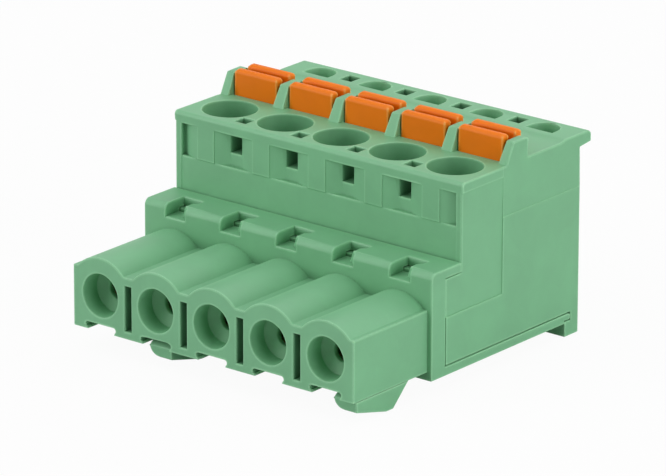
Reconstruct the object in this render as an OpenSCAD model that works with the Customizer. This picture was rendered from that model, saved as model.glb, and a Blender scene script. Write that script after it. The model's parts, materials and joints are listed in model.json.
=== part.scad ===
// Pluggable terminal block with five poles and push-in spring clamps.
// Two green mouldings close around five sets of metalwork, and an orange
// push button over each set opens its clamp spring.
//
// X runs along the row of poles, Y from the plug face towards the back and
// Z up from the plane the block rests on. Inside the modules Y = 0 is the
// plug face. The finished block is centred over its own footprint.

/* [Poles] */
// Distance between neighbouring poles
pitch = 5.08; // [4.9:0.01:6.5]
// Side wall that stands outside the last pitch at each end
end_margin = 0.3; // [0.2:0.05:1.5]

/* [Plug barrels] */
// Length of the barrels in front of the flange
barrel_len = 8.12; // [7:0.1:12]
// Radius of the rounded barrel tops
barrel_r = 2.8; // [2.6:0.05:3]
// Barrel row set back from the outer pitch line at each end
barrel_inset = 0.06; // [0:0.02:0.3]
// Height of the barrels' underside over the rest plane
barrel_base = 1.63; // [1.33:0.02:2.05]
// Height of the pin axis over the barrels' underside
axis_rise = 2.72; // [2.6:0.02:3.2]
// Height of the flat between two barrel tops over the pin axis
valley_rise = 1.85; // [1.6:0.05:2.2]
// Radius of the round socket at each barrel's mouth
socket_r = 1.6; // [1.4:0.05:1.8]
// Depth of the round socket
socket_depth = 1.5; // [1:0.1:2]
// Depth of the funnel that leads the pin inwards
lead_in = 0.4; // [0.2:0.05:0.6]
// Radius of the hole the pin goes through
pin_hole_r = 0.75; // [0.65:0.05:0.95]
// Wall between the funnel and the contact chamber
mouth_wall = 0.4; // [0.3:0.05:0.8]
// Width and height of the square contact chamber
contact_room = 2.8; // [2.6:0.05:3]
// Width of the coding slot between two barrels
slot_w = 0.58; // [0.4:0.02:0.9]
// Bottom of the coding slot below the pin axis
slot_drop = 2.15; // [1.8:0.05:2.3]
// Top of the coding slot over the pin axis
slot_rise = 1.21; // [0.9:0.05:1.4]
// Depth of the coding slot
slot_depth = 6.5; // [4:0.5:6.5]
// Width of the dovetail groove under a barrel at its opening
groove_open_w = 2.34; // [2:0.02:2.5]
// Width of the dovetail groove at its roof
groove_roof_w = 2.8; // [2.6:0.02:3]
// Radius of the groove's roof corners
groove_r = 0.22; // [0.1:0.02:0.25]
// Depth of the dovetail groove
groove_depth = 0.58; // [0.4:0.02:0.7]

/* [Flange and bottom plate] */
// Thickness of the flange
flange_t = 1.58; // [1.2:0.02:2.5]
// Height of the flange's top over the rest plane
flange_top = 8.86; // [8.05:0.01:9.65]
// Radius of the flange's top front edge
flange_edge_r = 0.5; // [0.2:0.05:0.6]
// Distance the top strip reaches behind the flange
strip_len = 1.8; // [1.2:0.05:3]
// Thickness of the top strip
strip_t = 0.7; // [0.5:0.02:0.9]
// Height of the bottom plate's underside over the rest plane
foot_h = 1.01; // [0.75:0.02:1.25]
// Thickness of the bottom plate
plate_t = 0.69; // [0.6:0.01:0.9]
// Distance the plate's tongue hooks into the rear wall
tongue_len = 0.61; // [0.4:0.01:0.9]
// Thickness of the tongue
tongue_t = 0.48; // [0.3:0.02:0.55]
// Width of the notches in the flange's top
notch_w = 1.8; // [1.4:0.1:2.4]
// Depth of the notches
notch_depth = 0.96; // [0.75:0.02:1.3]
// Distance the notches reach behind the flange
notch_reach = 0.5; // [0.2:0.05:0.8]
// Distance the pointed nub stands out from a notch's side at its foot
nub_out = 0.8; // [0.4:0.02:0.9]
// Distance it stands out at its top
nub_top = 0.3; // [0.1:0.02:0.36]
// Width of a latch nose at its widest
nose_w = 2; // [1.8:0.02:2.2]
// Radius of the nose's round flank
nose_r = 0.76; // [0.5:0.02:0.8]
// Nose's front face set back from the plug face
nose_back = 0.36; // [0.1:0.02:0.6]
// Height of the nose's front face under the barrel
nose_face = 0.8; // [0.6:0.02:1.2]
// Distance the front face leans back over that height
nose_lean = 0.1; // [0:0.02:0.5]
// Distance the front face leans back above, inside the groove
nose_scoop = 0.8; // [0.2:0.05:1.5]
// Slope of the nose's side face over its height
nose_draft = 0.06; // [0:0.02:0.2]
// Distance from the plug face to the nose's lowest line
nose_ramp = 3.75; // [3:0.05:4.5]
// Length of the flat at that line
nose_flat = 0.75; // [0.3:0.05:0.9]
// Length of the nose's rear ramp
nose_tail = 1.6; // [0.8:0.1:2]
// Side face of the right nose set in from the barrel row's end
nose_inset = 0.02; // [0.02:0.02:0.4]
// Distance between the two noses
nose_gap = 16.56; // [14:0.02:17]

/* [Clamp housing] */
// Distance from the upper front wall to the rear face
body_depth = 13.52; // [13:0.02:16]
// Height of the ledge with the wire funnels over the rest plane
ledge_top = 14.59; // [14.05:0.02:17]
// Radius of the ledge's front edge
ledge_edge_r = 0.3; // [0.1:0.05:0.5]
// Height of the recess behind the buttons over the ledge
recess_rise = 0.08; // [0:0.01:0.3]
// Height of the rear rail over the recess
rail_rise = 0.14; // [0.04:0.01:0.4]
// Distance from the rear face to the rail's front edge
rail_reach = 2.07; // [1.9:0.01:2.4]
// Slope of the rail's front edge
rail_bevel = 0.35; // [0.1:0.05:0.5]
// Distance the rail overhangs the rear face
rail_over = 1.28; // [0.8:0.02:2]
// Thickness of the overhanging rail
rail_t = 0.86; // [0.76:0.02:1.1]
// Slope of the rail's underside over its overhang
rail_slope = 0.15; // [0:0.05:0.3]
// Radius of the rail's rear top edge
rail_r = 0.4; // [0.1:0.05:0.45]
// Thickness of the rear wall, and of the foot below it
rear_wall = 1.58; // [1.5:0.02:2]
// Thickness of the upper front wall ahead of the current bars
front_wall = 0.7; // [0.5:0.05:1]
// Thickness of the webs between the pole chambers
web_t = 0.7; // [0.5:0.05:0.9]
// Thickness of the roof over the rear of the chambers
roof_t = 1.2; // [0.9:0.05:1.6]
// Depth of the steps that frame the side panels
side_step = 0.04; // [0.02:0.01:0.15]
// Length of the front side panel behind the upper front wall
panel_len = 4.6; // [3:0.1:6]
// Height of this panel's bottom edge over the rest plane
panel_low = 5.3; // [4:0.05:6]
// Distance from the ledge down to this panel's top edge
panel_drop = 0.74; // [0.4:0.02:1]
// Distance from the ledge down to the rear side panel's bottom edge
shoulder_drop = 3.64; // [2:0.02:6]
// Width of the posts that stand proud at the ends of the front wall
post_w = 0.62; // [0.5:0.02:1]
// Front wall set back between the posts
face_step = 0.06; // [0.02:0.01:0.15]
// Gap left along the seam between the two mouldings
seam = 0.06; // [0.03:0.01:0.1]

/* [Wire funnels and windows] */
// Radius of a wire funnel's mouth
funnel_r = 2; // [1.7:0.05:2.1]
// Length of the round mouth
funnel_len = 1.9; // [1:0.1:2.4]
// Radius of the throat below it
throat_r = 1.5; // [1.2:0.05:1.6]
// Height of the funnel block
funnel_block = 3.3; // [2.8:0.1:4]
// Distance from the upper front wall to the funnels' axes
funnel_back = 2.77; // [2.6:0.01:3]
// Width of a front window
window_w = 3.5; // [2.6:0.1:4]
// Height of a front window
window_h = 2.4; // [1.8:0.1:2.6]
// Ledge above the windows
window_drop = 0.84; // [0.6:0.02:1.2]
// Radius of the round cheeks beside a window
cheek_r = 5.3; // [4:0.1:8]
// Depth of a window's flat middle
window_depth = 0.41; // [0.3:0.01:0.6]
// Width of the square hole in a window and in the ledge above it
vent_w = 1; // [0.7:0.05:1.2]
// Height of the square hole in a window
vent_h = 1.43; // [1:0.05:1.6]
// Distance from the upper front wall to the ledge hole's middle
vent_back = 1.3; // [1.1:0.05:1.6]

/* [Ribs and rail holes] */
// Distance from the upper front wall to the ribs' front base
rib_back = 5; // [4.9:0.02:5.4]
// Length of the ribs' sloping front
rib_slope = 0.78; // [0.4:0.02:1]
// Length of the ribs' flat top
rib_len = 1.65; // [1.2:0.05:2]
// Height of the ribs over the ledge
rib_h = 1.54; // [1:0.02:1.8]
// Radius of the ribs' rear top edge
rib_r = 0.25; // [0.1:0.05:0.5]
// Width of a rib at its base
rib_base_w = 1; // [0.8:0.02:1.3]
// Width of a rib at its top
rib_top_w = 0.8; // [0.5:0.02:1]
// Width of the D-shaped holes in the rail
dee_w = 2.25; // [1.6:0.05:2.4]
// Length of a D-shaped hole from its flat to its round end
dee_len = 1.7; // [1.25:0.05:1.75]
// Distance from the rail's front edge to the flats of the D-shaped holes
dee_back = 0.95; // [0.6:0.01:1.05]
// Depth of the D-shaped holes
dee_depth = 0.6; // [0.4:0.05:0.65]
// Width of the four-sided holes in the rail
rail_hole_w = 1.04; // [0.8:0.02:1.2]
// Length of these holes from front to back
rail_hole_len = 1.16; // [0.8:0.02:1.3]
// Distance from the rail's front edge to these holes' middle
rail_hole_back = 1.82; // [1.4:0.01:1.9]
// Depth of these holes
rail_hole_depth = 0.65; // [0.4:0.05:0.7]

/* [Push buttons] */
// Running gap between a button and its shaft
button_gap = 0.06; // [0.04:0.01:0.1]
// Distance from the upper front wall to a button's front face
button_back = 5.6; // [5.5:0.02:5.9]
// Length of a button from front to back
button_len = 2.15; // [1.9:0.05:2.4]
// Width of a button lost on each side towards its top
button_taper = 0.05; // [0.01:0.01:0.2]
// Radius of the lips' ends
lip_end_r = 0.32; // [0.1:0.02:0.5]
// Thickness of each lip
lip_t = 0.7; // [0.5:0.02:0.8]
// Depth of the blade groove between the lips
blade_depth = 1; // [0.6:0.05:1.3]
// Travel of a button
button_travel = 1.5; // [0.8:0.05:1.5]
// Height at which the lips of a pressed button stand over the recess
button_proud = 0.33; // [0.1:0.01:0.6]
// Front of the stem set back from the button's front face
stem_back = 0.15; // [0.05:0.05:0.4]
// Width of the stem that bends the spring
stem_w = 3; // [2:0.1:3.4]
// Length of the stem from front to back
stem_len = 1.2; // [0.9:0.05:1.4]
// Distance the catch reaches back under the roof
catch_len = 0.6; // [0.4:0.05:0.8]
// Thickness of the catch
catch_t = 0.8; // [0.6:0.05:0.9]

/* [Metalwork] */
// Thickness of the current bar
bar_t = 0.8; // [0.6:0.05:0.9]
// Width of the bar's leg beside the wire
bar_w = 3.2; // [2.6:0.1:3.6]
// Width of the bar's tongue towards the plug side
tongue_w = 1.7; // [1.3:0.05:1.9]
// Distance the bar's tongue reaches ahead of the flange
tongue_reach = 2.2; // [1.5:0.1:3]
// Bending radius at the middle of the bar
bar_bend = 0.9; // [0.7:0.05:1.2]
// Thickness of the clamp spring
spring_t = 0.4; // [0.25:0.05:0.5]
// Width of the clamp spring
spring_w = 3.2; // [2.4:0.1:3.6]
// Bending radius at the middle of the spring
spring_bend = 1.3; // [0.9:0.05:1.6]
// Height of the spring's back over the bottom plate
spring_h = 9; // [8:0.1:10]
// Length of the spring's short top
spring_top = 3; // [2.6:0.1:3.6]
// Height of the clamping edge over the pin axis
bite_rise = 1.8; // [1:0.1:3]
// Distance between the clamping edge and the bar with no wire in
bite_gap = 0.1; // [0.05:0.05:0.4]
// Thickness of the contact leaves
leaf_t = 0.3; // [0.2:0.02:0.35]
// Width of the contact leaves
leaf_w = 2.2; // [2:0.05:2.4]
// Opening between the leaves where they grip the pin
grip = 0.7; // [0.4:0.05:0.9]
// Extra height of each leaf at its flared tip
leaf_flare = 0.5; // [0.2:0.05:0.6]
// Distance from a leaf's tip to where it grips the pin
grip_back = 1.2; // [0.8:0.1:2]
// Length over which the leaves lie on the bar ahead of the flange
seat_len = 2.4; // [1.5:0.1:3]
// Distance the leaves' back ends stop ahead of the flange's rear face
leaf_stop = 0.6; // [0.2:0.05:1]
// Air between the contact's tips and the chamber's front wall
tip_gap = 0.2; // [0.1:0.05:0.5]
// Length of the web that joins the two leaves ahead of the flange
web_len = 2; // [1:0.1:2.2]

/* [Hidden] */
poles = 5;
LAST = poles - 1;

$fn = 64;
// Overlap that lets a cut run clear through a face
eps = 0.5;
// Steps in each bend of a metal strip
bend_steps = 8;
// Air between metal faces that must not bind
metal_gap = 0.05;

green = [0.42, 0.66, 0.50];
orange = [0.85, 0.43, 0.10];
tin = [0.78, 0.78, 0.76];
bronze = [0.80, 0.62, 0.38];
steel = [0.66, 0.67, 0.68];

// Widths
body_w = poles * pitch + 2 * end_margin;
barrel_row_w = poles * pitch - 2 * barrel_inset;
chamber_w = pitch - web_t;
shaft_w = pitch - rib_base_w;
button_w = shaft_w - 2 * button_gap;

// Stations along Y
flange_y = barrel_len;
flange_back = flange_y + flange_t;
wall_y = flange_back + strip_len;
chamber_front = wall_y + front_wall;
rear_y = wall_y + body_depth;
chamber_back = rear_y - rear_wall;
rail_y = rear_y - rail_reach;
rail_back = rear_y + rail_over;
funnel_y = wall_y + funnel_back;
button_y = wall_y + button_back;
button_end = button_y + button_len;
shaft_y = button_y - button_gap;
shaft_end = button_end + button_gap;
rib_y = wall_y + rib_back;
panel_y = wall_y + panel_len;
contact_y = socket_depth + lead_in + mouth_wall;
total_depth = rail_back;

// Heights
axis_z = barrel_base + axis_rise;
valley_z = axis_z + valley_rise;
plate_top = foot_h + plate_t;
strip_low = flange_top - strip_t;
recess_z = ledge_top + recess_rise;
rail_z = recess_z + rail_rise;
funnel_low = ledge_top - funnel_block;
roof_low = recess_z - roof_t;
window_top = ledge_top - window_drop;
button_top = recess_z + button_travel + button_proud;
catch_top = roof_low - metal_gap;
catch_low = catch_top - catch_t;
spring_z = plate_top + spring_h;
shoulder_z = ledge_top - shoulder_drop;

// Plug side of the metalwork
tongue_tip = flange_y - tongue_reach;
leaf_tip = contact_y + tip_gap;
leaf_root = flange_back - leaf_stop;

module placed() translate([0, -total_depth / 2, 0]) children();
module at_pole(i) translate([(i - LAST / 2) * pitch, 0, 0]) children();
// Between pole i - 1 and pole i, and outside the last pole at both ends
module at_gap(i) translate([(i - poles / 2) * pitch, 0, 0]) children();

// A profile drawn in Y and Z, carried along X
module along_x(w, x = 0) translate([x - w / 2, 0, 0]) rotate([90, 0, 90]) linear_extrude(w) children();
// A profile drawn in X and Z, carried from y0 back to y1
module along_y(y0, y1) translate([0, y1, 0]) rotate([90, 0, 0]) linear_extrude(y1 - y0) children();
// A box as wide as w about X = 0, between two corners in Y and Z
module block(w, y0, z0, y1, z1) translate([-w / 2, y0, z0]) cube([w, y1 - y0, z1 - z0]);
// What a round edge of radius r leaves outside it, in the corner at the origin
module edge_waste(r) difference() {
    translate([-eps, -eps]) square(r + eps);
    translate([r, r]) circle(r);
}

// Turning a strip's centre line into its outline: each inner corner becomes an
// arc of the given radius, and the outline runs up one side and down the other.
function unit(v) = v / norm(v);
function left(v) = [-v[1], v[0]];
function turn(a, b) = let (c = cross(unit(a), unit(b)))
    asin(c) + (a * b < 0 ? 180 * sign(c) - 2 * asin(c) : 0);
function bend_side(p, q, s, r, off) =
    let (a = unit(q - p), b = unit(s - q), t = turn(a, b), sgn = sign(t),
         start = q - a * r * tan(abs(t) / 2), c = start + left(a) * r * sgn)
    [for (k = [0 : bend_steps])
        let (g = t * k / bend_steps, d = [a[0] * cos(g) - a[1] * sin(g), a[0] * sin(g) + a[1] * cos(g)])
        c - left(d) * (r * sgn - off)];
function strip_side(path, r, off) = let (n = len(path) - 1)
    concat([path[0] + left(unit(path[1] - path[0])) * off],
           [for (i = [1 : n - 1]) each bend_side(path[i - 1], path[i], path[i + 1], r, off)],
           [path[n] + left(unit(path[n] - path[n - 1])) * off]);
function reversed(v) = [for (i = [len(v) - 1 : -1 : 0]) v[i]];
module strip(path, t, r) polygon(concat(strip_side(path, r, t / 2), reversed(strip_side(path, r, -t / 2))));

// ---- plug housing -------------------------------------------------------

module barrel_row() {
    block(barrel_row_w, 0, barrel_base, flange_y + eps, valley_z);
    for (i = [0 : LAST]) at_pole(i) intersection() {
        translate([0, 0, axis_z]) rotate([-90, 0, 0]) cylinder(r = barrel_r, h = flange_y + eps);
        block(pitch - 2 * barrel_inset, 0, axis_z, flange_y + eps, axis_z + barrel_r + eps);
    }
}

module socket_bore() {
    chamber_end = flange_back + eps;
    translate([0, 0, axis_z]) rotate([-90, 0, 0]) {
        translate([0, 0, -eps]) cylinder(r = socket_r, h = socket_depth + eps);
        translate([0, 0, socket_depth]) cylinder(r1 = socket_r, r2 = pin_hole_r, h = lead_in);
        cylinder(r = pin_hole_r, h = contact_y + eps);
    }
    block(contact_room, contact_y, axis_z - contact_room / 2, chamber_end, axis_z + contact_room / 2);
}

module dovetail_groove() {
    roof = barrel_base + groove_depth;
    corner_x = groove_roof_w / 2 - groove_r;
    along_y(-eps, flange_y) {
        polygon([
            [-groove_open_w / 2, barrel_base - eps], [-groove_open_w / 2, barrel_base],
            [-groove_roof_w / 2, roof - groove_r], [groove_roof_w / 2, roof - groove_r],
            [groove_open_w / 2, barrel_base], [groove_open_w / 2, barrel_base - eps]]);
        translate([-corner_x, roof - groove_r]) square([2 * corner_x, groove_r]);
        for (side = [-1, 1]) translate([side * corner_x, roof - groove_r]) circle(groove_r);
    }
}

// L-shaped side profile of the flange, its top strip, the plate and the tongue
module ell_profile() {
    difference() {
        union() {
            translate([flange_y, foot_h]) square([flange_t, flange_top - foot_h]);
            translate([flange_y, strip_low]) square([flange_t + strip_len - seam, strip_t]);
        }
        translate([flange_y, flange_top]) mirror([0, 1]) edge_waste(flange_edge_r);
    }
    translate([flange_y, foot_h]) square([chamber_back - flange_y, plate_t]);
    difference() {
        translate([chamber_back - eps, plate_top - tongue_t]) square([tongue_len + eps, tongue_t]);
        translate([chamber_back + tongue_len, plate_top]) rotate(180) edge_waste(tongue_t / 2);
    }
}

// A notch over each pole. The pointed nub on its right side leans out towards its foot.
module flange_notch() {
    floor_z = flange_top - notch_depth;
    nub_tip = flange_y + flange_t * 0.48;
    side_x = notch_w / 2;
    difference() {
        block(notch_w, flange_y - eps, floor_z, flange_back + notch_reach, flange_top + eps);
        intersection() {
            translate([0, 0, floor_z - eps]) linear_extrude(notch_depth + 2 * eps) polygon([
                [side_x + eps, flange_y], [side_x - nub_out, nub_tip], [side_x, flange_back],
                [side_x + eps, flange_back]]);
            along_y(flange_y, flange_back) polygon([
                [side_x + eps, floor_z - eps], [side_x - nub_out, floor_z - eps], [side_x - nub_out, floor_z],
                [side_x - nub_top, flange_top], [side_x - nub_top, flange_top + eps],
                [side_x + eps, flange_top + eps]]);
        }
    }
}

// Latch nose with its side face at X = 0: a front face that leans back inside the
// groove and below it, a long ramp down to its lowest line, a short ramp behind,
// and a round flank on the far side. It hangs from the roof of the groove.
module latch_nose() {
    top = barrel_base + groove_depth + eps / 2;
    face_low = barrel_base - nose_face;
    flank_z = face_low + nose_r;
    flank_x = nose_r - nose_w;
    tail_y = nose_ramp + nose_flat + nose_tail;
    intersection() {
        along_x(2 * nose_w) polygon([
            [nose_back + nose_scoop, top], [nose_back, barrel_base], [nose_back + nose_lean, face_low],
            [nose_ramp, 0], [nose_ramp + nose_flat, 0], [tail_y, barrel_base], [tail_y, top]]);
        along_y(nose_back, tail_y) {
            polygon([[flank_x, 0], [-nose_draft, 0], [0, barrel_base], [0, top], [flank_x, top]]);
            translate([flank_x, flank_z]) circle(nose_r);
        }
    }
}

module plug_housing() {
    right_side = barrel_row_w / 2 - nose_inset;
    color(green) placed() difference() {
        union() {
            difference() {
                barrel_row();
                for (i = [0 : LAST]) at_pole(i) dovetail_groove();
            }
            along_x(body_w) ell_profile();
            translate([right_side, 0, 0]) latch_nose();
            translate([right_side - nose_gap, 0, 0]) latch_nose();
        }
        for (i = [0 : LAST]) at_pole(i) {
            socket_bore();
            flange_notch();
        }
        for (i = [1 : LAST]) at_gap(i)
            block(slot_w, -eps, axis_z - slot_drop, slot_depth, axis_z + slot_rise);
    }
}

// ---- clamp housing ------------------------------------------------------

// Side profile of the shell, without ribs
module shell_profile() {
    back_low = flange_back + seam;
    difference() {
        polygon([
            [back_low, plate_top + seam], [back_low, strip_low - seam], [wall_y, strip_low - seam],
            [wall_y, ledge_top], [rib_y + rib_slope, ledge_top], [rib_y + rib_slope, recess_z],
            [rail_y, recess_z], [rail_y + rail_bevel, rail_z], [rail_back, rail_z],
            [rail_back, rail_z - rail_t], [rear_y, rail_z - rail_t - rail_slope], [rear_y, 0],
            [chamber_back, 0],
            [chamber_back, plate_top + seam]]);
        translate([wall_y, ledge_top]) mirror([0, 1]) edge_waste(ledge_edge_r);
        translate([rail_back, rail_z]) rotate(180) edge_waste(rail_r);
        translate([chamber_back - eps, plate_top - tongue_t - seam])
            square([tongue_len + eps + seam, tongue_t + 2 * seam]);
    }
}

// Pole chamber, open below, with the wire space in front of the button space
module pole_chamber() {
    low = plate_top - eps;
    block(chamber_w, chamber_front, low, chamber_back, funnel_low);
    block(chamber_w, shaft_y, low, chamber_back, roof_low);
    block(contact_room, flange_back - eps, axis_z - contact_room / 2, chamber_front + eps,
          axis_z + contact_room / 2);
}

module button_shaft() block(shaft_w, shaft_y, funnel_low, shaft_end, button_top);

module wire_funnel() translate([0, funnel_y, 0]) {
    mouth_low = ledge_top - funnel_len;
    translate([0, 0, mouth_low]) cylinder(r = funnel_r, h = funnel_len + eps);
    translate([0, 0, funnel_low]) cylinder(r1 = throat_r, r2 = funnel_r, h = mouth_low - funnel_low);
    translate([0, 0, funnel_low - eps]) cylinder(r = throat_r, h = 2 * eps);
}

// Window pocket with round cheeks and a flat middle
module window() difference() {
    block(window_w, wall_y - eps, window_top - window_h, wall_y + window_depth, window_top);
    for (side = [-1, 1]) translate([side * pitch / 2, wall_y + cheek_r, window_top - window_h - eps])
        cylinder(r = cheek_r, h = window_h + 2 * eps, $fn = 120);
}

// Square hole that runs in through a window and up through the ledge
module vent() {
    block(vent_w, wall_y, window_top - vent_h, wall_y + vent_back + vent_w / 2, window_top);
    block(vent_w, wall_y + vent_back - vent_w / 2, window_top - vent_h, wall_y + vent_back + vent_w / 2,
          ledge_top + eps);
}

module rib() {
    rib_end = rib_y + rib_slope + rib_len;
    intersection() {
        along_x(rib_base_w) difference() {
            polygon([
                [rib_y, ledge_top - eps], [rib_y, ledge_top], [rib_y + rib_slope, ledge_top + rib_h],
                [rib_end, ledge_top + rib_h], [rib_end, ledge_top - eps]]);
            translate([rib_end, ledge_top + rib_h]) rotate(180) edge_waste(rib_r);
        }
        along_y(rib_y, rib_end) polygon([
            [-rib_base_w / 2, ledge_top - eps], [-rib_base_w / 2, ledge_top],
            [-rib_top_w / 2, ledge_top + rib_h], [rib_top_w / 2, ledge_top + rib_h],
            [rib_base_w / 2, ledge_top], [rib_base_w / 2, ledge_top - eps]]);
    }
}

module dee_hole() {
    flat_y = rail_y + dee_back;
    round_y = flat_y + dee_len - dee_w / 2;
    low = rail_z - dee_depth;
    intersection() {
        union() {
            block(dee_w, flat_y, low, round_y, rail_z + eps);
            translate([0, round_y, low]) cylinder(d = dee_w, h = dee_depth + eps);
        }
        block(dee_w, flat_y, low, round_y + dee_w, rail_z + eps);
    }
}

module rail_hole() {
    y = rail_y + rail_hole_back;
    block(rail_hole_w, y - rail_hole_len / 2, rail_z - rail_hole_depth, y + rail_hole_len / 2, rail_z + eps);
}

// What the two stepped panels take off one side
module side_steps() {
    deep = 2 * side_step;
    translate([body_w / 2 - deep, wall_y - strip_len - eps, panel_low])
        cube([deep + eps, panel_y - wall_y + strip_len + eps, ledge_top - panel_drop - panel_low]);
    translate([body_w / 2 - side_step, panel_y, shoulder_z])
        cube([side_step + eps, rail_back - panel_y + eps, ledge_top + rib_h - shoulder_z + eps]);
}

module clamp_housing() color(green) placed() difference() {
    union() {
        along_x(body_w) shell_profile();
        intersection() {
            for (i = [0 : poles]) at_gap(i) rib();
            block(body_w, 0, 0, rail_back, button_top);
        }
    }
    for (i = [0 : LAST]) at_pole(i) {
        pole_chamber();
        button_shaft();
        wire_funnel();
        dee_hole();
    }
    intersection() {
        for (i = [0 : poles]) at_gap(i) window();
        block(body_w - 2 * post_w, 0, 0, rail_back, button_top);
    }
    block(body_w - 2 * post_w, wall_y - eps, strip_low, wall_y + face_step, window_top - window_h);
    for (i = [1 : LAST]) at_gap(i) {
        vent();
        rail_hole();
    }
    for (side = [0, 1]) mirror([side, 0, 0]) side_steps();
}

// ---- push buttons -------------------------------------------------------

// Height of the spring's clamping leg at a station along Y
spring_back_y = chamber_back - metal_gap - spring_t / 2;
knee = [spring_back_y - spring_top, spring_z];
bite = [chamber_front + bar_t + spring_t / 2 + bite_gap, axis_z + bite_rise];
leg_slope = (knee[1] - bite[1]) / (knee[0] - bite[0]);
function leg_top(y) = knee[1] - (knee[0] - y) * leg_slope + spring_t / 2 * sqrt(1 + leg_slope * leg_slope);

// Side profile of a button: two round lips, the body, the catch and the stem
module button_profile() {
    lip_r = lip_t / 2;
    stem_y = button_y + stem_back;
    difference() {
        translate([button_y, catch_low]) square([button_len, button_top - lip_r - catch_low]);
        translate([button_y + lip_t, button_top - blade_depth]) square([button_len - 2 * lip_t, blade_depth]);
    }
    for (y = [button_y + lip_r, button_end - lip_r]) translate([y, button_top - lip_r]) circle(lip_r);
    translate([button_end - eps, catch_low]) square([catch_len + eps, catch_t]);
    polygon([
        [stem_y, catch_low + eps], [stem_y, leg_top(stem_y) + metal_gap],
        [stem_y + stem_len, leg_top(stem_y + stem_len) + metal_gap], [stem_y + stem_len, catch_low + eps]]);
}

// Front outline of a button: the narrow stem, the straight body that fills the
// shaft, and the lips, which taper a little and end round
module button_front() {
    end_x = button_w / 2 - button_taper - lip_end_r;
    translate([-stem_w / 2, 0]) square([stem_w, catch_low + eps]);
    polygon([
        [-button_w / 2, catch_low], [button_w / 2, catch_low], [button_w / 2, ledge_top],
        [button_w / 2 - button_taper, button_top - lip_end_r],
        [button_taper - button_w / 2, button_top - lip_end_r], [-button_w / 2, ledge_top]]);
    translate([-end_x, button_top - lip_end_r - eps]) square([2 * end_x, lip_end_r + eps]);
    for (side = [-1, 1]) translate([side * end_x, button_top - lip_end_r]) circle(lip_end_r);
}

module push_button(i) color(orange) placed() at_pole(i - 1) intersection() {
    along_x(button_w) button_profile();
    along_y(button_y - eps, button_end + catch_len + eps) button_front();
}

// ---- metalwork ----------------------------------------------------------

module clamp_spring(i) color(steel) placed() at_pole(i - 1) along_x(spring_w) strip([
    [spring_back_y, plate_top], [spring_back_y, spring_z], knee, bite], spring_t, spring_bend);

// The bar is as wide as the chamber allows on its leg, and narrows to the tongue
// where it passes through the front wall
module current_bar(i) {
    leg_y = chamber_front + bar_t / 2;
    color(tin) placed() at_pole(i - 1) difference() {
        along_x(bar_w) strip([[tongue_tip, axis_z], [leg_y, axis_z], [leg_y, funnel_low - metal_gap]],
                             bar_t, bar_bend);
        for (side = [-1, 1]) translate([side * (tongue_w + bar_w) / 2, 0, 0])
            block(bar_w, tongue_tip - eps, axis_z - bar_t, chamber_front, axis_z + bar_t + bar_bend);
    }
}

// Two leaves that lie on the tongue, run forward to grip the pin and flare at
// their tips, with a web beside the tongue that joins them
module socket_contact(i) {
    seat = (bar_t + leaf_t) / 2;
    pinch = (grip + leaf_t) / 2;
    web_y = flange_y - web_len;
    color(bronze) placed() at_pole(i - 1) {
        for (side = [0, 1]) translate([0, 0, axis_z]) mirror([0, 0, side]) along_x(leaf_w) strip([
            [leaf_tip, pinch + leaf_flare], [leaf_tip + grip_back, pinch],
            [flange_y - seat_len, seat], [leaf_root, seat]], leaf_t, leaf_t);
        translate([tongue_w / 2 + metal_gap, web_y, axis_z - bar_t / 2 - leaf_t])
            cube([(leaf_w - tongue_w) / 2 - metal_gap, leaf_root - web_y, bar_t + 2 * leaf_t]);
    }
}

plug_housing();
clamp_housing();
push_button(1);  // push_button_1
push_button(2);  // push_button_2
push_button(3);  // push_button_3
push_button(4);  // push_button_4
push_button(5);  // push_button_5
clamp_spring(1);  // clamp_spring_1
clamp_spring(2);  // clamp_spring_2
clamp_spring(3);  // clamp_spring_3
clamp_spring(4);  // clamp_spring_4
clamp_spring(5);  // clamp_spring_5
current_bar(1);  // current_bar_1
current_bar(2);  // current_bar_2
current_bar(3);  // current_bar_3
current_bar(4);  // current_bar_4
current_bar(5);  // current_bar_5
socket_contact(1);  // socket_contact_1
socket_contact(2);  // socket_contact_2
socket_contact(3);  // socket_contact_3
socket_contact(4);  // socket_contact_4
socket_contact(5);  // socket_contact_5
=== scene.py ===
# %% [markdown]
# # A five-pole pluggable terminal block
# The block is two green mouldings closed round five sets of metalwork, with an
# orange push button over each set. Its exact solids come from a CAD source and
# are the frame of this lesson: they say how big everything is and where it is.
# The lesson sets up a camera and a small studio, makes the finishes of plastic and metal, and last
# rounds the mouldings' edges and cuts the springs into short lengths.

# %% Load the solids as the frame
import json
import math
import bmesh
import bpy
import numpy as np
from mathutils import Matrix, Vector

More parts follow.
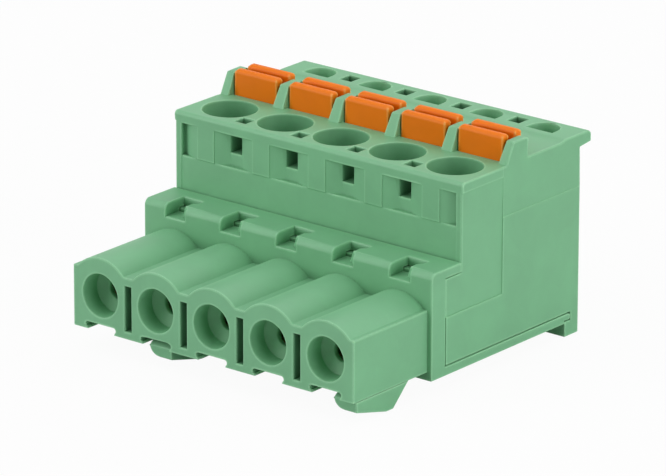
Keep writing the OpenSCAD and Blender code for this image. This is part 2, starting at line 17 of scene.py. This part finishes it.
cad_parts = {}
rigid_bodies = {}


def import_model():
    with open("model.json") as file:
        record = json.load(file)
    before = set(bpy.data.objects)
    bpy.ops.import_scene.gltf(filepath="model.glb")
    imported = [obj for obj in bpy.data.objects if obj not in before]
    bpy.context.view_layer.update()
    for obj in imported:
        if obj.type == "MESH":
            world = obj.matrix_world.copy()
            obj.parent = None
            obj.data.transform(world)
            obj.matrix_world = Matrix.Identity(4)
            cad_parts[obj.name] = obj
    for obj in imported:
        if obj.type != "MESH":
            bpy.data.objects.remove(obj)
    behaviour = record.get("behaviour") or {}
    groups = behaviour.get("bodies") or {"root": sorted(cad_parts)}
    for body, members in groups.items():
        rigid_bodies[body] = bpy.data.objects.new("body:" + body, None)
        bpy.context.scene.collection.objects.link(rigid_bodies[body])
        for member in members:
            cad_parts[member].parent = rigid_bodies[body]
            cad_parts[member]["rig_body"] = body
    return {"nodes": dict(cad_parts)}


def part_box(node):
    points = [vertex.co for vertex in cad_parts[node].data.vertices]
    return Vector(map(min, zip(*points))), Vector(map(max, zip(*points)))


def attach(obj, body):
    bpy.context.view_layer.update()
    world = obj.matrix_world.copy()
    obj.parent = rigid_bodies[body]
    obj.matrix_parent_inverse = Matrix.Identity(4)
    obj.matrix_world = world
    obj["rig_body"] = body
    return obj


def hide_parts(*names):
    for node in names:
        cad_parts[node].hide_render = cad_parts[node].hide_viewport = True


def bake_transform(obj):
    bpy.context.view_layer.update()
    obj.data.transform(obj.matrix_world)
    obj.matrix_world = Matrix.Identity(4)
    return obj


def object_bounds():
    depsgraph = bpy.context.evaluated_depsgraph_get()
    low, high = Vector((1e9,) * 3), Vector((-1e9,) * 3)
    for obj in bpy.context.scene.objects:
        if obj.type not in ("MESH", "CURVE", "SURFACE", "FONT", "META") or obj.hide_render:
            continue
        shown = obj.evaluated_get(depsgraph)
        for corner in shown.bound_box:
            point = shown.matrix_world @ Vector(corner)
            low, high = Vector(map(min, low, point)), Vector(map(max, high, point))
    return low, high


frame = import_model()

MM = 0.001
POLES = range(1, 6)
cad_low, cad_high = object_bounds()
print("solids:", len(frame["nodes"]))
print("size in mm:", [round(1000 * v, 2) for v in cad_high - cad_low])

# %% [markdown]
# ## The camera
# A long lens from well back keeps the rows of barrels and buttons nearly
# parallel, which is how small components are shown. A camera can be turned with
# angles or a Track To constraint. Here its place is a matrix whose columns are
# its right, up and back directions, because that fixes the slight roll too.

# %% Stand the camera at the front right
lens = bpy.data.cameras.new("long_lens")
lens.sensor_width = 36
lens.lens = 335.91
lens.clip_start, lens.clip_end = 0.01, 10
right = Vector((0.77762277, 0.62872523, 0.00272418))
back = Vector((0.59363023, -0.73563009, 0.3262691))
eye = Vector((260.405, -322.457, 150.418)) * MM
turn = Matrix((right, back.cross(right), back)).transposed()
camera = bpy.data.objects.new("camera", lens)
camera.matrix_world = Matrix.Translation(eye) @ turn.to_4x4()
bpy.context.scene.collection.objects.link(camera)
bpy.context.scene.camera = camera
print("camera", round(eye.length, 3), "m from the block")

# %% [markdown]
# ## Small helpers for colours and node trees
# A material is a graph. Writing each node as one call with its settings and its
# inputs keeps the graph readable: an input is either a number or colour, or the
# socket that feeds it. Colours are written as on a screen and turned into
# linear light, because that is what a shader reckons with.

# %% Helpers for colours, nodes, groups and materials
def linear(red, green, blue):
    """A colour of 0 to 255 per channel as linear light, by the sRGB curve:
    c / 12.92 up to 0.04045, and ((c + 0.055) / 1.055) to the power 2.4 above."""
    c = np.array([red, green, blue]) / 255
    c = np.where(c <= 0.04045, c / 12.92, ((c + 0.055) / 1.055) ** 2.4)
    return (*map(float, c), 1.0)


def add(tree, kind, inputs=None, **settings):
    """One node, with its settings, and its inputs set or linked."""
    node = tree.nodes.new("ShaderNode" + kind)
    for key, value in settings.items():
        setattr(node, key, value)
    for key, value in (inputs or {}).items():
        if isinstance(value, bpy.types.NodeSocket):
            tree.links.new(value, node.inputs[key])
        else:
            node.inputs[key].default_value = value
    return node


def group(name, inputs, outputs):
    """An empty node group with named number inputs and named outputs."""
    tree = bpy.data.node_groups.new(name, "ShaderNodeTree")
    for label, value in inputs.items():
        socket = tree.interface.new_socket(label, in_out="INPUT", socket_type="NodeSocketFloat")
        socket.default_value = value
    for label in outputs:
        tree.interface.new_socket(label, in_out="OUTPUT", socket_type="NodeSocketFloat")
    given = tree.nodes.new("NodeGroupInput").outputs
    return tree, given, tree.nodes.new("NodeGroupOutput").inputs


def material(name):
    """A material with an empty Principled shader, and its node tree."""
    made = bpy.data.materials.new(name)
    made.use_nodes = True
    tree = made.node_tree
    return made, tree, tree.nodes["Principled BSDF"]


print("half grey on a screen is", round(linear(128, 128, 128)[0], 3), "in linear light")

# %% [markdown]
# ## The studio
# Small parts are shown on white. The floor is a plain sheet. To the camera most
# of its brightness comes from an emission, so that it stays white and still
# takes the block's soft shadow, and from below it is clear. What it sends back
# to the block comes only from its own pale grey.

# %% The floor
FLOOR_HALF = 1.5
GLOW_SHARE = 0.95
FLOOR_GREY = (0.8, 0.84)

corner = np.array([[-1, -1], [1, -1], [1, 1], [-1, 1]]) * FLOOR_HALF
sheet = bpy.data.meshes.new("floor")
sheet.from_pydata(np.c_[corner, np.full(4, cad_low.z)].tolist(), [], [[0, 1, 2, 3]])
floor = bpy.data.objects.new("floor", sheet)
bpy.context.scene.collection.objects.link(floor)

paper, tree, shader = material("white_paper")
tree.nodes.remove(shader)
fibre = add(tree, "TexNoise", {"Scale": 900.0, "Detail": 3.0})
grey = add(tree, "MapRange", {"Value": fibre.outputs[0], "To Min": FLOOR_GREY[0],
                              "To Max": FLOOR_GREY[1]})
matt = add(tree, "BsdfDiffuse", {"Color": grey.outputs[0]})
glow = add(tree, "Emission", {"Color": (1, 1, 1, 1), "Strength": 1.0})
ray = add(tree, "LightPath").outputs
seen = add(tree, "Math", {0: ray["Is Camera Ray"], 1: GLOW_SHARE}, operation="MULTIPLY")
lit = add(tree, "MixShader", {0: seen.outputs[0], 1: matt.outputs[0], 2: glow.outputs[0]})
clear = add(tree, "BsdfTransparent")
below = add(tree, "NewGeometry").outputs["Backfacing"]
face = add(tree, "MixShader", {0: below, 1: lit.outputs[0], 2: clear.outputs[0]})
tree.links.new(face.outputs[0], tree.nodes["Material Output"].inputs["Surface"])
sheet.materials.append(paper)
print("floor", 2 * FLOOR_HALF, "m square at z", cad_low.z)

# %% [markdown]
# The room round the floor is white too, but only to the eye and in reflections.
# It sends no light to the block. All of that comes from the lamps, so that the
# shadows keep their depth.

# %% White surroundings
world = bpy.data.worlds.new("white_room")
world.use_nodes = True
bpy.context.scene.world = world
tree = world.node_tree
ray = add(tree, "LightPath").outputs
seen = add(tree, "Math", {0: ray["Is Camera Ray"], 1: ray["Is Glossy Ray"]}, operation="MAXIMUM")
seen = add(tree, "Math", {0: seen.outputs[0], 1: ray["Is Transmission Ray"]}, operation="MAXIMUM")
tree.nodes["Background"].inputs["Color"].default_value = (1, 1, 1, 1)
tree.links.new(seen.outputs[0], tree.nodes["Background"].inputs["Strength"])
print("world", world.name)

# %% [markdown]
# Five big square lamps stand round the block: overhead, behind, at its right
# side, at the front left, and high at the front left, over the shoulder of
# whoever looks at it. A lamp about as wide as its distance gives soft shadows.
# The right side gets more light than the front, which tells the two apart.

# %% Five soft lamps
AIM = Vector((0, 0, 0.008))
LAMPS = {  # place in m, side in m, power in W
    "overhead": ((0, 0.02, 0.5), 0.9, 1.3),
    "behind": ((0.05, 0.42, 0.28), 0.6, 1.15),
    "right_side": ((0.5, 0.0, 0.1), 0.4, 1.7),
    "front_left": ((-0.35, -0.4, 0.16), 0.4, 1.4),
    "over_shoulder": ((-0.15, -0.2, 0.45), 0.6, 0.76),
}


def softbox(name, place, size, power):
    """A square lamp whose axis goes through the block's middle."""
    lamp = bpy.data.lights.new(name, "AREA")
    lamp.shape, lamp.size, lamp.energy = "SQUARE", size, power
    stand = bpy.data.objects.new(name, lamp)
    stand.location = place
    stand.rotation_mode = "QUATERNION"
    stand.rotation_quaternion = (AIM - Vector(place)).to_track_quat("-Z", "Y")
    bpy.context.scene.collection.objects.link(stand)


for name, (place, size, power) in LAMPS.items():
    softbox(name, place, size, power)
bpy.context.scene.view_settings.view_transform = "Standard"
print("lamps:", ", ".join(LAMPS))

# %% [markdown]
# ## Shared effects
# Four effects are used by more than one finish, so each is a node group with
# its own inputs. The first is the skin of a moulded part: a fine spark-eroded
# grain, and slow clouds where the melt flowed, which shift the shade and the
# gloss a little. Noise on Object coordinates is enough, because the grain has
# no direction and the pieces never slide in their own coordinates.

# %% The skin of moulded plastic
def spread(tree, noise, low, high):
    """Noise stretched over a range: 0.3 to 0.7, where most of it lies, becomes
    low to high, and what lies outside takes the nearer end."""
    return add(tree, "MapRange", {"Value": noise, "From Min": 0.3, "From Max": 0.7,
                                  "To Min": low, "To Max": high}).outputs[0]


skin, given, gives = group(
    "moulded_skin",
    {"Grain Scale": 6000.0, "Cloud Scale": 350.0, "Cloud Amount": 0.05, "Dull": 0.5, "Gloss": 0.4},
    ("Shade", "Height", "Roughness"))
where = add(skin, "TexCoord").outputs["Object"]
cloud = add(skin, "TexNoise", {"Vector": where, "Scale": given["Cloud Scale"], "Detail": 4.0,
                               "Roughness": 0.6, "Distortion": 0.6}).outputs[0]
grain = add(skin, "TexNoise", {"Vector": where, "Scale": given["Grain Scale"],
                               "Detail": 2.0}).outputs[0]
dark = add(skin, "Math", {0: 1.0, 1: given["Cloud Amount"]}, operation="SUBTRACT").outputs[0]
light = add(skin, "Math", {0: 1.0, 1: given["Cloud Amount"]}, operation="ADD").outputs[0]
skin.links.new(spread(skin, cloud, dark, light), gives["Shade"])
skin.links.new(spread(skin, cloud, given["Gloss"], given["Dull"]), gives["Roughness"])
skin.links.new(grain, gives["Height"])
print("group", skin.name)

# %% [markdown]
# The second effect is a painted highlight along outer edges: a lighter colour where a rounded edge
# of a moulding would catch the light. Rays sent into the part from just under the surface hit
# another face soon near an outer edge and not on a flat, so an inside ambient occlusion is high
# only along such edges.

# %% Painted highlight on outer edges
FLAT_SHARE = 0.1  # how closed in a point may be before it counts as an edge

edges, given, gives = group("painted_edge_highlight", {"Reach": 0.0002, "Contrast": 3.5}, ("Mask",))
inside = add(edges, "AmbientOcclusion", {"Distance": given["Reach"]}, inside=True,
             only_local=True, samples=6)
closed = add(edges, "Math", {0: 1.0, 1: inside.outputs["AO"]}, operation="SUBTRACT").outputs[0]
over = add(edges, "Math", {0: closed, 1: FLAT_SHARE}, operation="SUBTRACT").outputs[0]
mask = add(edges, "Math", {0: over, 1: given["Contrast"]}, operation="MULTIPLY", use_clamp=True)
edges.links.new(mask.outputs[0], gives["Mask"])
print("group", edges.name)

# %% [markdown]
# The third effect is its opposite, a painted shade. Slots, sockets and corners of a moulding look
# deeper and more saturated than open faces, because little light gets in and what gets out has met
# the plastic several times. An outside ambient occlusion tells how closed in a point is, and the
# colour is darkened by it as painted shade.

# %% Painted shade where a moulding is closed in
CLOSED_SKY, OPEN_SKY = 0.1, 0.65  # where the darkening is full, and where it ends

recess, given, gives = group("painted_recess_shade", {"Reach": 0.0014, "Deepest": 0.4}, ("Shade",))
sky = add(recess, "AmbientOcclusion", {"Distance": given["Reach"]}, only_local=True, samples=8)
shade = add(recess, "MapRange", {"Value": sky.outputs["AO"], "From Min": CLOSED_SKY,
                                 "From Max": OPEN_SKY, "To Min": given["Deepest"], "To Max": 1.0})
recess.links.new(shade.outputs[0], gives["Shade"])
print("group", recess.name)

# %% [markdown]
# The fourth effect is the drawn look of strip metal: fine scratches along the
# direction in which the strip was rolled, and a few dull stains. The scratches
# are noise squeezed along one axis, so that each blob becomes a long line.

# %% Rolled and plated strip
LONG_LINES = (1.0, 0.06, 0.06)
STAIN_SHADES = (0.86, 1.04)

rolled, given, gives = group(
    "rolled_strip", {"Across": 6000.0, "Dull": 0.42, "Bright": 0.22},
    ("Shade", "Height", "Roughness"))
where = add(rolled, "TexCoord").outputs["Object"]
squeeze = add(rolled, "Mapping", {"Vector": where, "Scale": LONG_LINES}).outputs[0]
lines = add(rolled, "TexNoise", {"Vector": squeeze, "Scale": given["Across"],
                                 "Detail": 3.0}).outputs[0]
stain = add(rolled, "TexNoise", {"Vector": where, "Scale": 500.0, "Detail": 3.0}).outputs[0]
rolled.links.new(spread(rolled, stain, *STAIN_SHADES), gives["Shade"])
rolled.links.new(spread(rolled, lines, given["Bright"], given["Dull"]), gives["Roughness"])
rolled.links.new(lines, gives["Height"])
print("group", rolled.name)

# %% [markdown]
# ## The finishes
# Both mouldings are glass-filled nylon in a soft green with a low satin sheen.
# The buttons are a smoother, glossier orange. A Principled shader holds what is
# the same all over, and the groups bring what changes over the surface.

# %% Green and orange plastic
def place_effect(tree, effect, **values):
    """A shared effect in a material, with that material's own values."""
    node = add(tree, "Group", node_tree=effect)
    for label, value in values.items():
        node.inputs[label.replace("_", " ").title()].default_value = value
    return node.outputs


def feed(tree, shader, colour, surface, strength, depth):
    """Colour, the surface's roughness, and its height as a bump, into the shader."""
    bump = add(tree, "Bump", {"Strength": strength, "Distance": depth, "Height": surface["Height"]})
    tree.links.new(colour, shader.inputs["Base Color"])
    tree.links.new(surface["Roughness"], shader.inputs["Roughness"])
    tree.links.new(bump.outputs[0], shader.inputs["Normal"])


def plastic(name, colour, highlight_colour, grain_depth, specular, **skin_values):
    """Moulded plastic with a painted highlight on its outer edges and painted shade where it is
    closed in: colour times the skin's shade times that painted shade, mixed with the highlight
    colour by the edge mask."""
    made, tree, shader = material(name)
    surface = place_effect(tree, skin, **skin_values)
    painted_highlight, painted_shade = place_effect(tree, edges), place_effect(tree, recess)
    # The colour is darkened by painted shade where the part is closed in, and lightened by a
    # painted highlight along its outer edges.
    shade = add(tree, "Math", {0: surface["Shade"], 1: painted_shade["Shade"]}, operation="MULTIPLY")
    tint = add(tree, "VectorMath", {0: colour[:3], "Scale": shade.outputs[0]}, operation="SCALE")
    paint = add(tree, "Mix", {"Factor": painted_highlight["Mask"], 6: tint.outputs[0], 7: highlight_colour},
                data_type="RGBA")
    feed(tree, shader, paint.outputs[2], surface, 0.5, grain_depth)
    shader.inputs["Specular IOR Level"].default_value = specular
    return made


# The second colour of each plastic is the painted highlight on its outer edges.
green_nylon = plastic("green_nylon", linear(120, 184, 138), linear(156, 216, 170),
                      0.003 * MM, 0.5, dull=0.56, gloss=0.44)
orange_resin = plastic("orange_resin", linear(253, 128, 5), linear(255, 174, 86),
                       0.002 * MM, 0.2, dull=0.46, gloss=0.38, cloud_amount=0.04)
print("plastics:", green_nylon.name, orange_resin.name)

# %% [markdown]
# The metalwork is three strips of different metals. The clamp spring is bright
# stainless steel, the current bar is tin-plated copper, whose plating is greyer
# and softer, and the socket contact is bronze, which is warm.

# %% Spring steel, tin plating and bronze
SCRATCH_DEPTH = 0.004 * MM


def strip_metal(name, colour, **values):
    """Rolled strip: metal whose gloss and height follow the rolling lines."""
    made, tree, shader = material(name)
    surface = place_effect(tree, rolled, **values)
    tint = add(tree, "VectorMath", {0: colour[:3], "Scale": surface["Shade"]}, operation="SCALE")
    feed(tree, shader, tint.outputs[0], surface, 0.4, SCRATCH_DEPTH)
    shader.inputs["Metallic"].default_value = 1.0
    return made


METALS = {
    "clamp_spring": strip_metal("stainless_strip", linear(196, 198, 200), bright=0.18, dull=0.34),
    "current_bar": strip_metal("tinned_strip", linear(204, 202, 196), bright=0.32, dull=0.5),
    "socket_contact": strip_metal("bronze_strip", linear(206, 164, 104), bright=0.24, dull=0.42),
}
for part, metal in METALS.items():
    for i in POLES:
        solid = frame["nodes"][f"{part}_{i}"]
        solid.data.materials.clear()
        solid.data.materials.append(metal)
print("metals:", [metal.name for metal in METALS.values()])

# %% [markdown]
# ## Rounded mouldings
# No edge that comes out of a mould is perfectly sharp. The radius is about a
# tenth of a millimetre, and the thin line of light along it is what makes the
# eye read plastic. Before an edge is rounded it has to be understood: how far
# its two faces turn, whether it is an outer edge or an inner corner, and how
# much room its faces have. Reading the whole mesh into arrays answers this for
# every edge at once.

# %% Measure every edge
def read(items, key, width=1, kind=float):
    """One property of all vertices, edges, loops or faces as an array, with
    width numbers in each row."""
    values = np.empty(width * len(items), kind)
    items.foreach_get(key, values)
    return values.reshape(-1, width) if width > 1 else values


def folds(mesh):
    """Every edge between two faces: its index, length, the angle its faces turn
    through, whether it is an outer edge, and the narrower face's width there.
    The angle is that of the normals. The edge is outer if a point of one face,
    in from the edge, lies below the other. The width is area over length."""
    co, normal = read(mesh.vertices, "co", 3), read(mesh.polygons, "normal", 3)
    ends, area = read(mesh.edges, "vertices", 2, int), read(mesh.polygons, "area")
    loop_edge = read(mesh.loops, "edge_index", kind=int)
    loop_start = read(mesh.loops, "vertex_index", kind=int)
    loop_face = np.repeat(np.arange(len(area)), read(mesh.polygons, "loop_total", kind=int))
    order = np.argsort(loop_edge, kind="stable")
    count = np.bincount(loop_edge, minlength=len(ends))
    first = np.r_[0, np.cumsum(count)[:-1]]
    two = np.flatnonzero(count == 2)
    loops_a = order[first[two]]
    a, b = loop_face[loops_a], loop_face[order[first[two] + 1]]
    along = co[ends[two, 1]] - co[ends[two, 0]]
    length = np.linalg.norm(along, axis=1).clip(1e-9)
    forward = np.where(loop_start[loops_a] == ends[two, 0], 1.0, -1.0)
    inward = np.cross(normal[a], along * (forward / length)[:, None])
    angle = np.arccos(np.einsum("ij,ij->i", normal[a], normal[b]).clip(-1, 1))
    outer = np.einsum("ij,ij->i", inward, normal[b]) < 0
    return two, length, angle, outer, np.minimum(area[a], area[b]) / length


as_it_comes = frame["nodes"]["plug_housing"].data
print("plug housing as it comes: two triangles share", len(folds(as_it_comes)[0]), "edges, of",
      3 * len(as_it_comes.polygons) // 2, "if all were joined")

# %% [markdown]
# A Bevel modifier rounds the edges, and its width is set edge by edge through a
# weight. Only outer edges get one, because an inner corner of a moulding stays
# crisp. Where a face is too narrow to carry the full width, the weight is less.

# %% Say which edges are rounded, and how much
ROUNDED_ANGLE = math.radians(40)
SHORTEST_EDGE = 0.05 * MM
ROOM_PER_WIDTH = 2.4


def weigh(mesh, width):
    """Bevel weight of each edge from 0 to 1: the room over 2.4 times the width
    for outer edges of more than 40 degrees, and 0 for all others."""
    edge, length, angle, outer, room = folds(mesh)
    taken = outer & (angle > ROUNDED_ANGLE) & (length > SHORTEST_EDGE)
    weight = np.zeros(len(mesh.edges), np.float32)
    weight[edge] = np.where(taken, np.clip(room / (ROOM_PER_WIDTH * width), 0, 1), 0)
    mesh.attributes.new("bevel_weight_edge", "FLOAT", "EDGE").data.foreach_set("value", weight)
    return int((weight > 0).sum())


print("outer edges are rounded from", round(math.degrees(ROUNDED_ANGLE)), "degrees")

# %% [markdown]
# Shading is smooth over the rounded strips and over the barrels, and sharp in
# the inner corners. So each edge of the finished mesh is marked sharp or not,
# once the bevel has been made, because such marks don't survive it.

# %% Say which corners stay sharp
CORNER_ANGLE = math.radians(21)
STRIP_ANGLE = math.radians(38)
STRIP_WIDTH = 0.15 * MM


def crease(mesh):
    """Corners stay sharp from 21 degrees, and next to the bevel's narrow faces
    from 38, which is more than one step of a bevelled right angle."""
    edge, _, angle, outer, room = folds(mesh)
    sharp = np.zeros(len(mesh.edges), bool)
    sharp[edge] = angle > np.where(outer & (room < STRIP_WIDTH), STRIP_ANGLE, CORNER_ANGLE)
    mesh.attributes.new("sharp_edge", "BOOLEAN", "EDGE").data.foreach_set("value", sharp)


def smooth(mesh):
    """Smooth shading on every face, with the corners kept sharp."""
    mesh.polygons.foreach_set("use_smooth", np.ones(len(mesh.polygons), bool))
    crease(mesh)


print("corners stay sharp from", round(math.degrees(CORNER_ANGLE)), "degrees")

# %% [markdown]
# The rail along the back of the block has blind holes. In the solids they are
# shallow, so that the roof over the chambers stays whole. Their floors are
# taken a little further down here, and only the floors' points move.

# %% Deepen the holes in the rail
BEHIND_BUTTON = 2 * MM
RAIL_END = 1 * MM
FLOOR_DEPTHS = (0.4 * MM, 0.8 * MM)
EXTRA_DEPTH = 0.5 * MM


def deepen_rail_holes(mesh):
    """Lower the holes' floors: z' = z - 0.5 mm for every point over the rail
    that lies 0.4 to 0.8 mm under its top and not on its ends."""
    co = read(mesh.vertices, "co", 3)
    rail = co[:, 1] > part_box("push_button_1")[1].y + BEHIND_BUTTON
    rail &= abs(co[:, 0]) < cad_high.x - RAIL_END
    under = co[rail, 2].max() - co[:, 2]
    floors = rail & (under > FLOOR_DEPTHS[0]) & (under < FLOOR_DEPTHS[1])
    co[floors, 2] -= EXTRA_DEPTH
    mesh.vertices.foreach_set("co", co.ravel())
    mesh.update()
    print("points of hole floors lowered:", int(floors.sum()))


print("the holes go", EXTRA_DEPTH / MM, "mm deeper")

# %% [markdown]
# A CAD solid arrives as triangles, and not all of them are joined, so a copy is
# welded first and flat neighbours become whole faces. Then come the weights and
# the bevel, which is made part of the mesh. A Weighted Normal modifier stays on
# the piece: it turns the shading of the rounded strips towards the big flat
# faces beside them, so that flats look flat and only the strips catch the light.

# %% Weld, join and round
WELD = 0.001 * MM
FLAT_ANGLE = math.radians(0.3)
BEVEL_STEPS = 2
AREA_WEIGHT, SAME_AREA = 80, 2e-8


def welded(node):
    """A copy of the node's mesh, and a bmesh of it with its triangles joined."""
    mesh = frame["nodes"][node].data.copy()
    work = bmesh.new()
    work.from_mesh(mesh)
    bmesh.ops.remove_doubles(work, verts=work.verts, dist=WELD)
    return mesh, work


def put_back(work, mesh, name):
    """What was worked goes into the mesh, and the mesh into the scene."""
    work.to_mesh(mesh)
    work.free()
    piece = bpy.data.objects.new(name, mesh)
    bpy.context.scene.collection.objects.link(piece)
    return piece


def rounded(node, width):
    """The node's solid, welded, with its outer edges rounded to about width."""
    mesh, work = welded(node)
    bmesh.ops.dissolve_limit(work, angle_limit=FLAT_ANGLE, verts=work.verts, edges=work.edges)
    piece = put_back(work, mesh, node + "_moulding")
    if node == "clamp_housing":
        deepen_rail_holes(mesh)
    count = weigh(mesh, width)
    bevel = piece.modifiers.new("round_edges", "BEVEL")
    bevel.limit_method = "WEIGHT"
    bevel.width, bevel.segments = width, BEVEL_STEPS
    bevel.use_clamp_overlap = False
    graph = bpy.context.evaluated_depsgraph_get()
    done = bpy.data.meshes.new_from_object(piece.evaluated_get(graph))
    done.name = node + "_moulding"
    piece.modifiers.remove(bevel)
    piece.data = done
    smooth(done)
    level = piece.modifiers.new("flat_faces", "WEIGHTED_NORMAL")
    level.mode, level.keep_sharp = "FACE_AREA", True
    level.weight, level.thresh = AREA_WEIGHT, SAME_AREA
    print(node, "faces", len(done.polygons), "edges rounded", count)
    return piece


print("points closer than", WELD / MM, "mm are joined")

# %% [markdown]
# Each rounded copy stands for its solid: it moves with the same body, takes the
# same finish slot, and the solid is hidden. The buttons' lips are thin, so they
# are rounded a little less than the housings.

# %% Dress the housings and the buttons
HOUSING_ROUNDING, BUTTON_ROUNDING = 0.08 * MM, 0.07 * MM


def dress(node, width, finish):
    """A rounded copy takes the node's place, rides with it and gets its finish."""
    piece = rounded(node, width)
    piece.data.materials.clear()
    piece.data.materials.append(finish)
    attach(piece, frame["nodes"][node]["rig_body"])
    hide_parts(node)


for node in ("plug_housing", "clamp_housing"):
    dress(node, HOUSING_ROUNDING, green_nylon)
for i in POLES:
    dress(f"push_button_{i}", BUTTON_ROUNDING, orange_resin)

# %% [markdown]
# ## Springs cut into lengths
# A pressed button pushes its stem down on the long leg of the clamp spring, and the leg bends at
# the knee and lets the wire go. A stiff spring would stay in the stem's way. So each spring is
# copied and cut across into short lengths, and the copy takes the place of the solid, which is
# hidden.

# %% Springs cut into short lengths
SLICE = 0.3 * MM
UNCUT_BACK = 0.6 * MM
ON_PLANE = 0.0001 * MM


def springy(i):
    """The spring of one pole, sliced by planes of equal y every 0.3 mm."""
    node = f"clamp_spring_{i}"
    low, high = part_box(node)
    mesh, work = welded(node)
    for y in np.arange(low.y + SLICE, high.y - UNCUT_BACK, SLICE):
        bmesh.ops.bisect_plane(work, geom=work.verts[:] + work.edges[:] + work.faces[:],
                               plane_co=(0, y, 0), plane_no=(0, 1, 0), dist=ON_PLANE)
    piece = put_back(work, mesh, f"bending_spring_{i}")
    smooth(mesh)
    return piece


for i in POLES:
    co = read(frame["nodes"][f"push_button_{i}"].data.vertices, "co", 3)
    spring = springy(i)
    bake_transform(spring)
    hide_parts(f"clamp_spring_{i}")
